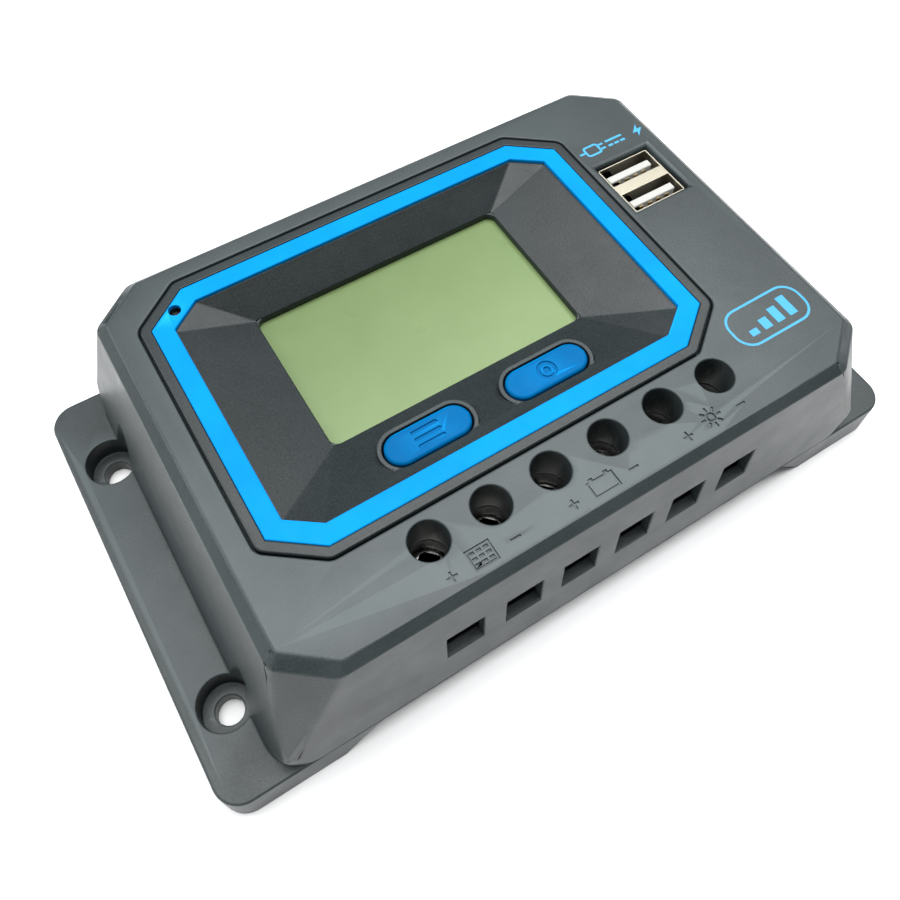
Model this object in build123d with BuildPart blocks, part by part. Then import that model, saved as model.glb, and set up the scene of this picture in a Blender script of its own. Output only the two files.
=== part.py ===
"""Solar charge controller: case with a display, two keys, twin USB sockets and six wire terminals.

Millimetres. X runs along the case, from the left flange to the right one. Y runs up the display, away
from the wire entries. Z is up from the mounting surface. The origin is the centre of the footprint, on
that surface.
"""

import os

from build123d import *

os.makedirs("parts", exist_ok=True)
on_floor = (Align.CENTER, Align.CENTER, Align.MIN)

# ---------------------------------------------------------------- case: driving sizes
case_length = 160.3
case_width = 92.8
case_height = 42.0
case_wall = 2.3
top_wall = 2.5

flange_thickness = 9.2
flange_corner_radius = 5.3
flange_edge_round = 0.5
body_foot_length = 138.2
body_top_length = 124.8
body_top_width = 88.6
body_corner_cut = (9.5, 7.45)
body_corner_round = 3.0
top_bevel = 1.8

# four screw holes in the flanges
flange_hole_spacing_x = 144.4
flange_hole_spacing_y = 57.6
flange_hole_radius = 2.75
flange_counterbore_radius = 5.2
flange_counterbore_depth = 5.5
flange_boss_wall = 2.0

# pockets that lighten the flanges from below
flange_pocket_size = (7.6, 11.5)
flange_pocket_pitch = 14.0
flange_pocket_count = 3
flange_pocket_depth = 6.4

# raised front edge under the wire entries, for cables that come from behind
relief_height = 8.5
relief_top_length = 98.0
relief_foot_length = 114.0
relief_depth = 7.2
relief_shelf = 2.0
relief_side_wall = 1.2

# ---------------------------------------------------------------- display bezel: driving sizes
display_centre = (-7.2, 5.85)
band_size = (93.3, 61.9)
band_corner_cut = (8.6, 6.5)
band_width = 4.0
band_thickness = 1.0
bezel_rim = 2.1
bezel_gap = 0.4
bezel_plate = 2.4
bezel_edge_round = 0.45
bezel_corner_radius = 2.6
bezel_ledge_width = 2.0
bezel_ledge_thickness = 2.2
ledge_overlap = 1.6

window_centre = (-7.2, 10.1)
window_size = (55.7, 32.6)
window_corner_radius = 1.8
window_wall_depth = 1.6
glass_top = case_height - 7.6
funnel_wall = 2.2
funnel_overlap = 0.5
bezel_post_gap = 1.0

recess_corner_cut = (6.0, 4.35)
band_fit = 0.05
band_edge_round = 0.3

hook_width = 6.0
hook_thickness = 1.4
hook_barb = 0.8
hook_drop = 1.6
hook_gap = 0.2
hook_pitch = 50.0

led_hole_offset = (-41.0, 26.7)
led_hole_radius = 1.25
light_pipe_top = case_height - 1.8
light_pipe_step = 0.6
light_pipe_gap = 0.4
light_pipe_lamp_gap = 0.2
light_pipe_round = 0.4
lamp_body_size = (3.2, 2.6, 1.1)
lamp_lens_radius = 1.0
lamp_lens_height = 0.6

# ---------------------------------------------------------------- keys: driving sizes
key_size = (17.4, 6.5)
key_pitch = 25.9
key_y = -14.9
key_top = case_height - 1.6
key_edge_round = 0.7
key_clearance = 0.35
key_travel = 0.5
key_flange_step = 0.75
key_flange_thickness = 1.2
collar_wall = 0.95
collar_top = case_height - 2.0
key_mark_depth = 0.3
key_mark_line = 0.7
menu_mark_length = 5.6
menu_mark_pitch = 1.5
set_mark_radius = 2.0

# ---------------------------------------------------------------- terminals: driving sizes
terminal_count = 6
terminal_pitch = 12.35
terminal_y = -32.8
well_radius = 3.65
well_wall = 1.3
wire_entry_size = (7.6, 8.8)
wire_entry_floor = 20.0

# symbols cut into the top face in front of the wells
symbol_depth = 0.3
symbol_line = 0.4
polarity_length = 2.0
plus_places = [(-30.9, -40.1), (-6.6, -40.1), (18.4, -40.1)]
minus_places = [(-18.4, -39.9), (6.3, -39.9), (30.8, -39.9)]
panel_symbol_centre = (-24.8, -39.5)
panel_symbol_size = (4.8, 3.9)
panel_cell_size = (0.95, 0.55)
panel_cell_pitch = (1.35, 1.05)
battery_symbol_centre = (0.0, -39.7)
battery_symbol_size = (5.5, 3.2)
battery_tab_size = (0.9, 0.5)
battery_tab_pitch = 3.2
lamp_symbol_centre = (24.4, -39.2)
lamp_symbol_radius = 0.95
lamp_ray_count = 8
lamp_ray_length = 0.95
lamp_ray_gap = 0.25

block_depth_front = 9.7
block_depth_back = 6.8
block_top = case_height - 9.0
block_end_wall = 2.4
block_roof = 3.4

screw_head_radius = 3.2
screw_head_height = 1.8
screw_head_top = case_height - 11.0
screw_shank_radius = 1.75
screw_length = 11.0
screw_drive_width = 0.95
screw_drive_length = 4.6
screw_drive_depth = 1.1
screw_head_round = 0.8
screw_tip_chamfer = 0.5
running_clearance = 0.05

clamp_plate_size = 6.6
clamp_plate_thickness = 1.0
clamp_plate_round = 0.5
bar_thickness = 1.6
bar_width = 7.0
bar_fit = 0.15
bar_front_overhang = 6.0
block_floor = 1.2
tip_room = 4.6

# ---------------------------------------------------------------- boards and what they carry
board_thickness = 1.6
plate_thickness = 2.0
standoff_height = 9.0
standoff_size = 5.5
main_board_size = (110.0, 82.6)
main_board_centre_y = -1.3
main_board_hole_spacing = (100.0, 68.0)
main_board_hole_centre_y = 1.0
display_board_size = (90.0, 56.0)
display_board_centre = (-7.2, 7.6)
board_screw_radius = 1.5
board_screw_head = 2.8
board_screw_head_height = 1.6
board_screw_length = 6.0
screw_hole_clearance = 0.1
screw_slot_width = 0.8
board_corner_radius = 1.5
display_screw_length = 6.8
main_board_screw_length = 8.0
usb_screw_length = 7.2
header_centre = (20.0, 32.3)
header_pitch = 2.54
header_columns = 8
header_rows = 2
header_height = 8.5
header_pin_size = 0.64
header_pin_tail = 1.2
header_hole_radius = 0.55
thermal_pad_width = 20.0
thermal_pad_thickness = 1.0
transistor_count = 6
transistor_pitch = 14.0
transistor_y = -6.0
transistor_body = (10.0, 9.0, 4.4)
transistor_tab = (10.0, 15.6, 1.3)
transistor_tab_shift = -3.3
transistor_hole_shift = -8.3
transistor_hole_radius = 1.8
transistor_body_y = transistor_y + 0.3
lead_pitch = 2.54
lead_size = (0.8, 3.2, 0.5)
lead_shift = 6.0
lead_rise = 2.4
lead_bend_shift = 7.3
lead_bend_depth = 0.6
capacitor_x = (-42.0, -27.0, -12.0)
capacitor_y = 22.0
capacitor_radius = 6.25
capacitor_height = 13.0
capacitor_round = 0.8
choke_place = (36.0, 8.0)
choke_ring_radius = 6.5
choke_tube_radius = 2.8
chip_place = (-22.0, -6.0)
chip_size = 10.0
chip_height = 1.4
chip_lift = 0.1
chip_legs_per_side = 11
chip_leg_pitch = 0.8
chip_leg_size = (0.35, 1.2, 0.6)
chip_leg_reach = 1.0
shunt_x = (6.0, 18.0)
shunt_y = 4.0
shunt_height = 6.0
shunt_span = 9.0
shunt_wire = 1.5

# twin USB socket, standing on its own small board
usb_centre = (50.8, 13.9)
usb_opening = (14.1, 14.3)
usb_opening_bevel = 0.5
usb_shell_size = (13.2, 13.7)
usb_shell_top = case_height - 1.2
usb_shell_length = 18.8
usb_port_size = (12.5, 5.12)
usb_port_pitch = 7.92
usb_port_depth = 16.0
usb_tongue_size = (11.1, 1.84)
usb_tongue_length = 15.2
usb_contact_size = (1.0, 0.15)
usb_contact_pitch = 2.3
usb_contact_length = 13.0
usb_board_size = (19.0, 31.0)
usb_board_centre = (52.4, 14.6)
usb_post_offset = 12.3
usb_tongue_base = 1.5
usb_fit = 0.05
usb_shell_corner = 0.5
usb_tongue_round = 0.4
usb_coil_size = (7.0, 7.0, 4.0)
usb_coil_corner = 1.5
post_radius = 2.9

# ---------------------------------------------------------------- derived places
flange_floor = flange_thickness - flange_counterbore_depth
body_slope_x = (body_foot_length - body_top_length) / 2 / (case_height - flange_thickness)
body_slope_y = (case_width - body_top_width) / 2 / (case_height - flange_thickness)
cavity_top = case_height - top_wall
plate_gap = 0.3
lip_front_y = -case_width / 2 + relief_depth
shelf_length = relief_foot_length + 2 * relief_side_wall

opening_grow = bezel_rim + bezel_gap
bezel_underside = case_height - bezel_plate
band_floor = case_height - band_thickness
window_top = glass_top + window_wall_depth

collar_bottom_gap = 0.05
key_hole_size = (key_size[0] + 2 * key_clearance, key_size[1] + 2 * key_clearance)
collar_size = (key_hole_size[0] + 2 * collar_wall, key_hole_size[1] + 2 * collar_wall)
key_flange_size = (key_hole_size[0] + 2 * key_flange_step, key_hole_size[1] + 2 * key_flange_step)
key_x = {"menu": display_centre[0] - key_pitch / 2, "set": display_centre[0] + key_pitch / 2}

main_board_bottom = plate_thickness + standoff_height
main_board_top = main_board_bottom + board_thickness
terminal_x = [(i - (terminal_count - 1) / 2) * terminal_pitch for i in range(terminal_count)]
chamber_width = wire_entry_size[0]
head_bottom = screw_head_top - screw_head_height
bar_top = wire_entry_floor
bar_bottom = bar_top - bar_thickness
chamber_top = block_top - block_roof
block_front_y = terminal_y - block_depth_front
block_back_y = terminal_y + block_depth_back
block_length = terminal_count * terminal_pitch + 2 * block_end_wall - (terminal_pitch - chamber_width)

glass_size = (60.0, 37.6)
polarizer_size = (58.6, 35.6)
polarizer_thickness = 0.3
glass_thickness = 2.2
backlight_thickness = 2.6
lcd_frame_wall = 1.1
lcd_fit = 0.1
glass_corner = 0.4
backlight_corner = 0.8
backlight_seat = 2.0
board_under_display_gap = 0.5
glass_bottom = glass_top - polarizer_thickness - glass_thickness
backlight_bottom = glass_bottom - backlight_thickness
display_board_top = backlight_bottom - board_under_display_gap
display_board_bottom = display_board_top - board_thickness
display_post_spacing = (78.0, 40.0)
display_post_centre = (-7.2, 8.0)

switch_size = 6.0
switch_height = 3.5
switch_corner = 0.4
plunger_radius = 1.7
plunger_rise = 0.7
plunger_length = 2.0
plunger_round = 0.2
plunger_room = 0.3
switch_top = display_board_top + switch_height
light_pipe_bottom = display_board_top + lamp_body_size[2] + lamp_lens_height + light_pipe_lamp_gap
plunger_top = switch_top + plunger_rise
key_flange_top = plunger_top + key_flange_thickness
collar_bottom = key_flange_top + collar_bottom_gap

usb_shell_bottom = usb_shell_top - usb_shell_length
usb_board_top = usb_shell_bottom
usb_board_bottom = usb_board_top - board_thickness

base_screw_x = 62.5
base_screw_y = 39.5
base_post_radius = 4.0
base_post_top = 14.0
base_screw_radius = 1.5
base_screw_head = 2.7
base_screw_head_height = 1.4
base_screw_length = 9.0
base_screw_drive = 3.4

ledge_floor = bezel_underside - bezel_ledge_thickness
recess_crown_size = (band_size[0] - 2 * band_width, band_size[1] - 2 * band_width)
hook_face = band_size[1] / 2 + bezel_rim - bezel_ledge_width - hook_gap
hook_x = (display_centre[0] - hook_pitch / 2, display_centre[0] + hook_pitch / 2)
led_place = (display_centre[0] + led_hole_offset[0], display_centre[1] + led_hole_offset[1])
plunger_travel_room = plunger_length - plunger_rise + key_travel + plunger_room
chamber_back_y = terminal_y + 4.4
bar_front_y = terminal_y - bar_front_overhang
bar_tail_y = chamber_back_y + bar_fit + bar_thickness / 2
usb_screw_places = [(usb_centre[0], usb_centre[1] + side * usb_post_offset) for side in (-1, 1)]

# ---------------------------------------------------------------- shared shapes
def cut_corner_outline(size, corner, level, grow=0.0):
    """Sketch of a rectangle around the display's centre with its corners cut off, grown all round."""
    half_x = size[0] / 2
    half_y = size[1] / 2
    quarter = [(half_x, half_y - corner[1]), (half_x - corner[0], half_y)]
    points = quarter
    points = points + [(-x, y) for x, y in reversed(quarter)]
    points = points + [(-x, -y) for x, y in quarter]
    points = points + [(x, -y) for x, y in reversed(quarter)]
    with BuildSketch(Plane.XY.offset(level)) as outline:
        with Locations(display_centre):
            Polygon(*points)
        if grow:
            offset(amount=grow, kind=Kind.INTERSECTION)
    return outline.sketch


def bezel_outline(level, grow=0.0):
    """Outer edge of the coloured band, moved outwards all round by grow."""
    return cut_corner_outline(band_size, band_corner_cut, level, grow)


def rounded_bezel_outline(level, grow):
    """The same, with its eight corners rounded as the bezel's own are."""
    with BuildSketch(Plane.XY.offset(level)) as outline:
        add(bezel_outline(0, grow))
        fillet(outline.vertices(), bezel_corner_radius + grow - bezel_rim)
    return outline.sketch


def faceted_frustum(sharp_size, sharp_centre, sharp_z, cut_size, cut_centre, cut_z, corner):
    """Solid between a sharp rectangle and one with cut corners, with a flat triangle at each corner."""
    with BuildPart() as block:
        with BuildSketch(Plane.XY.offset(sharp_z)):
            with Locations(sharp_centre):
                Rectangle(*sharp_size)
        with BuildSketch(Plane.XY.offset(cut_z)):
            with Locations(cut_centre):
                Rectangle(*cut_size)
        loft(ruled=True)
        for side_x in (-1, 1):
            for side_y in (-1, 1):
                tip_x = sharp_centre[0] + side_x * sharp_size[0] / 2
                tip_y = sharp_centre[1] + side_y * sharp_size[1] / 2
                edge_x = cut_centre[0] + side_x * cut_size[0] / 2
                edge_y = cut_centre[1] + side_y * cut_size[1] / 2
                tip = Vector(tip_x, tip_y, sharp_z)
                first = Vector(edge_x - side_x * corner[0], edge_y, cut_z)
                second = Vector(edge_x, edge_y - side_y * corner[1], cut_z)
                normal = (first - tip).cross(second - tip)
                if normal.dot(Vector(side_x, side_y, 0)) < 0:
                    normal = normal * -1
                split(bisect_by=Plane(origin=tip, z_dir=normal), keep=Keep.BOTTOM)
    return block.part


def stadium(size, centre, level):
    """Sketch of a key's outline: a rectangle with fully rounded ends."""
    with BuildSketch(Plane.XY.offset(level)) as outline:
        with Locations(centre):
            SlotOverall(size[0], size[1])
    return outline.sketch


def rod(radius, height, mode=Mode.ADD):
    """Upright cylinder that starts at the current location and rises from it."""
    return Cylinder(radius, height, align=on_floor, mode=mode)


def block(length, width, height, mode=Mode.ADD):
    """Box that stands on the current location."""
    return Box(length, width, height, align=on_floor, mode=mode)


def pan_head_screws(places, head_floor, points_up, shank_length):
    """Group of cross-drive board screws whose heads bear on head_floor, above it or below it."""
    turn = 180 if points_up else 0
    drive_length = 1.2 * board_screw_head
    with BuildPart() as screws:
        for x, y in places:
            with Locations(Plane((x, y, head_floor)).rotated((turn, 0, 0))):
                rod(board_screw_head, board_screw_head_height)
                with Locations((0, 0, -shank_length)):
                    rod(board_screw_radius, shank_length)
                with Locations((0, 0, board_screw_head_height)):
                    Box(drive_length, screw_slot_width, board_screw_head_height, mode=Mode.SUBTRACT)
                    Box(screw_slot_width, drive_length, board_screw_head_height, mode=Mode.SUBTRACT)
    return screws


def grid_places(centre, spacing):
    """The four corners of a rectangle of screw places."""
    return [
        (centre[0] + side_x * spacing[0] / 2, centre[1] + side_y * spacing[1] / 2)
        for side_x in (-1, 1) for side_y in (-1, 1)
    ]


def write(piece, name):
    """Labels a finished piece and writes its STEP file."""
    piece.part.label = name
    export_step(piece.part, f"parts/{name}.step")


def framed(size, line):
    """Adds a rectangular outline, line wide, to the sketch in hand."""
    Rectangle(*size)
    Rectangle(size[0] - 2 * line, size[1] - 2 * line, mode=Mode.SUBTRACT)


def terminal_symbols(level):
    """Plus and minus signs, a solar panel, a battery and a lamp, as one sketch."""
    with BuildSketch(Plane.XY.offset(level)) as symbols:
        with Locations(*plus_places):
            Rectangle(polarity_length, symbol_line)
            Rectangle(symbol_line, polarity_length)
        with Locations(*minus_places):
            Rectangle(polarity_length, symbol_line)
        with BuildSketch(mode=Mode.PRIVATE) as panel:
            framed(panel_symbol_size, symbol_line)
            with GridLocations(panel_cell_pitch[0], panel_cell_pitch[1], 3, 3):
                Rectangle(*panel_cell_size)
        with BuildSketch(mode=Mode.PRIVATE) as battery:
            framed(battery_symbol_size, symbol_line)
            with Locations((0, battery_symbol_size[1] / 2 + battery_tab_size[1] / 2)):
                with GridLocations(battery_tab_pitch, 0, 2, 1):
                    Rectangle(*battery_tab_size)
        with BuildSketch(mode=Mode.PRIVATE) as lamp:
            Circle(lamp_symbol_radius)
            Circle(lamp_symbol_radius - symbol_line, mode=Mode.SUBTRACT)
            with PolarLocations(lamp_symbol_radius + lamp_ray_gap + lamp_ray_length / 2, lamp_ray_count):
                Rectangle(lamp_ray_length, symbol_line)
        for centre, symbol in (
            (panel_symbol_centre, panel), (battery_symbol_centre, battery), (lamp_symbol_centre, lamp),
        ):
            with Locations(centre):
                add(symbol.sketch)
    return symbols.sketch


# ---------------------------------------------------------------- top housing
body_block = faceted_frustum(
    (body_foot_length, case_width), (0, 0), flange_thickness,
    (body_top_length, body_top_width), (0, 0), case_height, body_corner_cut,
)
inner_top_length = body_top_length + 2 * body_slope_x * top_wall - 2 * case_wall
inner_top_width = body_top_width + 2 * body_slope_y * top_wall - 2 * case_wall
cavity_block = faceted_frustum(
    (body_foot_length - 2 * case_wall, case_width - 2 * case_wall), (0, 0), flange_thickness,
    (inner_top_length, inner_top_width), (0, 0), cavity_top, body_corner_cut,
)

with BuildPart() as body:
    add(body_block)
    fillet([edge for edge in body.edges() if abs(edge.tangent_at(0.5).Z) > 0.5], body_corner_round)

with BuildPart() as cavity:
    add(cavity_block)
    with BuildSketch(Plane.XY):
        Rectangle(body_foot_length - 2 * case_wall, case_width - 2 * case_wall)
    extrude(amount=flange_thickness)
    with BuildSketch(Plane.XY):
        with GridLocations(flange_hole_spacing_x, flange_hole_spacing_y, 2, 2):
            Circle(flange_counterbore_radius + flange_boss_wall)
    extrude(amount=cavity_top, mode=Mode.SUBTRACT)

with BuildPart() as top_housing:
    with BuildSketch(Plane.XY):
        RectangleRounded(case_length, case_width, flange_corner_radius)
    extrude(amount=flange_thickness)
    flange_top_edges = top_housing.faces().sort_by(Axis.Z)[-1].edges()
    fillet(flange_top_edges, flange_edge_round)
    add(body.part)
    chamfer(top_housing.faces().sort_by(Axis.Z)[-1].edges(), top_bevel)
    add(cavity.part, mode=Mode.SUBTRACT)

    # flange holes with counterbores, which also bite into the foot of the side walls
    with BuildSketch(Plane.XY.offset(flange_floor)):
        with GridLocations(flange_hole_spacing_x, flange_hole_spacing_y, 2, 2):
            Circle(flange_counterbore_radius)
    extrude(amount=case_height, mode=Mode.SUBTRACT)
    with BuildSketch(Plane.XY):
        with GridLocations(flange_hole_spacing_x, flange_hole_spacing_y, 2, 2):
            Circle(flange_hole_radius)
    extrude(amount=flange_thickness, mode=Mode.SUBTRACT)

    # pockets under the flanges
    flange_pocket_x = (case_length / 2 + body_foot_length / 2 - case_wall) / 2
    with BuildSketch(Plane.XY):
        with GridLocations(2 * flange_pocket_x, flange_pocket_pitch, 2, flange_pocket_count):
            Rectangle(*flange_pocket_size)
    extrude(amount=flange_pocket_depth, mode=Mode.SUBTRACT)

    # side walls and shelf around the raised front edge
    wall_back_y = lip_front_y - plate_gap
    shelf_back_y = lip_front_y + plate_thickness + plate_gap
    shelf_front_y = -case_width / 2 + case_wall / 2
    with BuildSketch(Plane.XY):
        with Locations((0, (wall_back_y + shelf_front_y) / 2)):
            Rectangle(shelf_length, wall_back_y - shelf_front_y)
    extrude(amount=relief_height)
    with BuildSketch(Plane.XY.offset(relief_height)):
        with Locations((0, (shelf_back_y + shelf_front_y) / 2)):
            Rectangle(shelf_length, shelf_back_y - shelf_front_y)
    extrude(amount=relief_shelf)
    with BuildSketch(Plane.XZ.offset(case_width / 2 + 1)):
        with BuildLine():
            Polyline(
                (-relief_foot_length / 2, 0), (-relief_top_length / 2, relief_height),
                (relief_top_length / 2, relief_height), (relief_foot_length / 2, 0), close=True,
            )
        make_face()
    extrude(amount=-(relief_depth + 1), mode=Mode.SUBTRACT)

    # posts for the base screws
    with BuildSketch(Plane.XY.offset(plate_thickness)):
        with GridLocations(2 * base_screw_x, 2 * base_screw_y, 2, 2):
            Circle(base_post_radius)
    extrude(amount=base_post_top - plate_thickness)
    with BuildSketch(Plane.XY):
        with GridLocations(2 * base_screw_x, 2 * base_screw_y, 2, 2):
            Circle(base_screw_radius + screw_hole_clearance)
    extrude(amount=plate_thickness + base_screw_length, mode=Mode.SUBTRACT)

    # ledge that carries the bezel, then the bezel's opening above it
    extrude(bezel_outline(ledge_floor, opening_grow + ledge_overlap), amount=bezel_ledge_thickness)
    extrude(
        bezel_outline(ledge_floor, bezel_rim - bezel_ledge_width),
        amount=bezel_ledge_thickness, mode=Mode.SUBTRACT,
    )
    extrude(
        rounded_bezel_outline(bezel_underside, opening_grow),
        amount=bezel_plate + 1, mode=Mode.SUBTRACT,
    )

    # screwdriver wells
    with BuildSketch(Plane.XY.offset(block_top + 0.2)):
        with Locations(*[(x, terminal_y) for x in terminal_x]):
            Circle(well_radius + well_wall)
    extrude(amount=case_height - top_wall / 2 - block_top - 0.2)
    with BuildSketch(Plane.XY.offset(block_top)):
        with Locations(*[(x, terminal_y) for x in terminal_x]):
            Circle(well_radius)
    extrude(amount=case_height - block_top + 1, mode=Mode.SUBTRACT)

    extrude(terminal_symbols(case_height - symbol_depth), amount=symbol_depth + 1, mode=Mode.SUBTRACT)

    # wire entries in the front wall
    entry_z = wire_entry_floor + wire_entry_size[1] / 2
    with BuildSketch(Plane.XZ.offset(-block_front_y)):
        with Locations(*[(x, entry_z) for x in terminal_x]):
            Rectangle(*wire_entry_size)
    extrude(amount=case_width / 2 + block_front_y + 1, mode=Mode.SUBTRACT)

    # posts that hold the USB board, and the socket's opening
    with BuildSketch(Plane.XY.offset(usb_board_top)):
        with Locations((usb_centre[0], usb_centre[1] - usb_post_offset),
                       (usb_centre[0], usb_centre[1] + usb_post_offset)):
            Circle(post_radius)
    extrude(amount=case_height - top_wall / 2 - usb_board_top)
    with BuildSketch(Plane.XY.offset(usb_board_top)):
        with Locations((usb_centre[0], usb_centre[1] - usb_post_offset),
                       (usb_centre[0], usb_centre[1] + usb_post_offset)):
            Circle(board_screw_radius + screw_hole_clearance)
    extrude(amount=board_screw_length, mode=Mode.SUBTRACT)
    with BuildSketch(Plane.XY.offset(cavity_top)):
        with Locations(usb_centre):
            Rectangle(*usb_opening)
    extrude(amount=top_wall, mode=Mode.SUBTRACT)
    with BuildSketch(Plane.XY.offset(case_height - usb_opening_bevel)):
        with Locations(usb_centre):
            Rectangle(*usb_opening)
    with BuildSketch(Plane.XY.offset(case_height)):
        with Locations(usb_centre):
            Rectangle(usb_opening[0] + 2 * usb_opening_bevel, usb_opening[1] + 2 * usb_opening_bevel)
    loft(ruled=True, mode=Mode.SUBTRACT)

write(top_housing, "top_housing")

# ---------------------------------------------------------------- base plate and its screws
# Folded aluminium sheet that closes the case and carries its heat away. Its lip stands behind the raised
# front edge.
plate_length = body_foot_length - 2 * case_wall - 2 * plate_gap
plate_width = case_width - 2 * case_wall - 2 * plate_gap
base_screw_places = grid_places((0, 0), (2 * base_screw_x, 2 * base_screw_y))
main_board_screw_places = grid_places((0, main_board_hole_centre_y), main_board_hole_spacing)
display_screw_places = grid_places(display_post_centre, display_post_spacing)

with BuildPart() as base_plate:
    with BuildSketch(Plane.XY):
        Rectangle(plate_length, plate_width)
        with Locations((0, lip_front_y - case_width / 4)):
            Rectangle(shelf_length + 2 * plate_gap, case_width / 2, mode=Mode.SUBTRACT)
        with GridLocations(flange_hole_spacing_x, flange_hole_spacing_y, 2, 2):
            Circle(flange_counterbore_radius + flange_boss_wall + plate_gap, mode=Mode.SUBTRACT)
    extrude(amount=plate_thickness)
    with BuildSketch(Plane.XY):
        with Locations((0, lip_front_y + plate_thickness / 2)):
            Rectangle(relief_foot_length - 2 * plate_gap, plate_thickness)
    extrude(amount=relief_height)
    with Locations(*base_screw_places):
        Cone(
            base_screw_head + screw_hole_clearance, base_screw_radius + screw_hole_clearance,
            base_screw_head_height, align=on_floor, mode=Mode.SUBTRACT,
        )
        rod(base_screw_radius + screw_hole_clearance, plate_thickness, Mode.SUBTRACT)
write(base_plate, "base_plate")

with BuildPart() as base_screws:
    with Locations(*base_screw_places):
        Cone(base_screw_head, base_screw_radius, base_screw_head_height, align=on_floor)
        rod(base_screw_radius, base_screw_length)
        Box(base_screw_drive, screw_slot_width, base_screw_head_height, mode=Mode.SUBTRACT)
        Box(screw_slot_width, base_screw_drive, base_screw_head_height, mode=Mode.SUBTRACT)
write(base_screws, "base_screws")

# ---------------------------------------------------------------- display bezel and its coloured band
recess = faceted_frustum(
    window_size, window_centre, window_top,
    recess_crown_size, display_centre, band_floor, recess_corner_cut,
)
funnel = faceted_frustum(
    (window_size[0] + 2 * funnel_wall, window_size[1] + 2 * funnel_wall), window_centre, glass_top,
    (recess_crown_size[0] + funnel_wall, recess_crown_size[1] + funnel_wall), display_centre,
    bezel_underside + funnel_overlap, recess_corner_cut,
)

with BuildPart() as display_bezel:
    extrude(rounded_bezel_outline(bezel_underside, bezel_rim), amount=bezel_plate)
    fillet(display_bezel.faces().sort_by(Axis.Z)[-1].edges(), bezel_edge_round)
    extrude(bezel_outline(band_floor), amount=band_thickness, mode=Mode.SUBTRACT)
    add(funnel)
    with Locations(*[(x, y, display_board_top) for x, y in display_screw_places]):
        rod(post_radius, bezel_underside - display_board_top - bezel_post_gap)
    add(recess, mode=Mode.SUBTRACT)
    with BuildSketch(Plane.XY.offset(glass_top)):
        with Locations(window_centre):
            RectangleRounded(window_size[0], window_size[1], window_corner_radius)
    extrude(amount=window_wall_depth, mode=Mode.SUBTRACT)

    # level collars around the keys
    for x in key_x.values():
        extrude(stadium(collar_size, (x, key_y), collar_bottom), amount=collar_top - collar_bottom)
        extrude(stadium(key_hole_size, (x, key_y), collar_bottom), amount=case_height, mode=Mode.SUBTRACT)

    # light hole in the corner, and screw holes up into the posts
    with Locations((led_place[0], led_place[1], bezel_underside - 1)):
        rod(led_hole_radius, case_height, Mode.SUBTRACT)
    with Locations(*[(x, y, display_board_top) for x, y in display_screw_places]):
        rod(board_screw_radius + screw_hole_clearance, board_screw_length, Mode.SUBTRACT)

    # hooks that snap under the housing's ledge, on the two long sides
    for side in (-1, 1):
        arm_y = display_centre[1] + side * (hook_face - hook_thickness / 2)
        barb_y = display_centre[1] + side * (hook_face + hook_barb / 2 - hook_gap)
        for x in hook_x:
            with Locations((x, arm_y, ledge_floor - hook_drop)):
                block(hook_width, hook_thickness, bezel_underside - ledge_floor + hook_drop)
            with Locations((x, barb_y, ledge_floor - hook_drop)):
                block(hook_width, hook_barb + 2 * hook_gap, hook_drop - hook_gap)
write(display_bezel, "display_bezel")

with BuildPart() as bezel_trim_ring:
    extrude(bezel_outline(band_floor, -band_fit), amount=band_thickness - band_fit)
    extrude(
        cut_corner_outline(recess_crown_size, recess_corner_cut, band_floor),
        amount=band_thickness, mode=Mode.SUBTRACT,
    )
    fillet(bezel_trim_ring.faces().sort_by(Axis.Z)[-1].edges(), band_edge_round)
    with Locations((led_place[0], led_place[1], band_floor)):
        rod(led_hole_radius, band_thickness, Mode.SUBTRACT)
write(bezel_trim_ring, "bezel_trim_ring")

# ---------------------------------------------------------------- display module
with BuildPart() as lcd_polarizer:
    with Locations((window_centre[0], window_centre[1], glass_top - polarizer_thickness)):
        block(polarizer_size[0], polarizer_size[1], polarizer_thickness)
write(lcd_polarizer, "lcd_polarizer")

with BuildPart() as lcd_glass:
    with Locations((window_centre[0], window_centre[1], glass_bottom)):
        block(glass_size[0], glass_size[1], glass_thickness)
    chamfer(lcd_glass.edges().filter_by(Axis.Z), glass_corner)
write(lcd_glass, "lcd_glass")

with BuildPart() as lcd_backlight:
    with Locations((window_centre[0], window_centre[1], backlight_bottom)):
        block(glass_size[0], glass_size[1], backlight_thickness)
    fillet(lcd_backlight.edges().filter_by(Axis.Z), backlight_corner)
write(lcd_backlight, "lcd_backlight")

lcd_pocket = (glass_size[0] + 2 * lcd_fit, glass_size[1] + 2 * lcd_fit)

with BuildPart() as lcd_frame:
    with Locations((window_centre[0], window_centre[1], display_board_top)):
        block(
            lcd_pocket[0] + 2 * lcd_frame_wall, lcd_pocket[1] + 2 * lcd_frame_wall,
            glass_top - polarizer_thickness - display_board_top,
        )
        with Locations((0, 0, board_under_display_gap)):
            block(lcd_pocket[0], lcd_pocket[1], glass_top, Mode.SUBTRACT)
        block(
            glass_size[0] - 2 * backlight_seat, glass_size[1] - 2 * backlight_seat,
            board_under_display_gap, Mode.SUBTRACT,
        )
    fillet(lcd_frame.edges().filter_by(Axis.Z).group_by(SortBy.LENGTH)[-1], backlight_corner)
write(lcd_frame, "lcd_frame")

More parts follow.
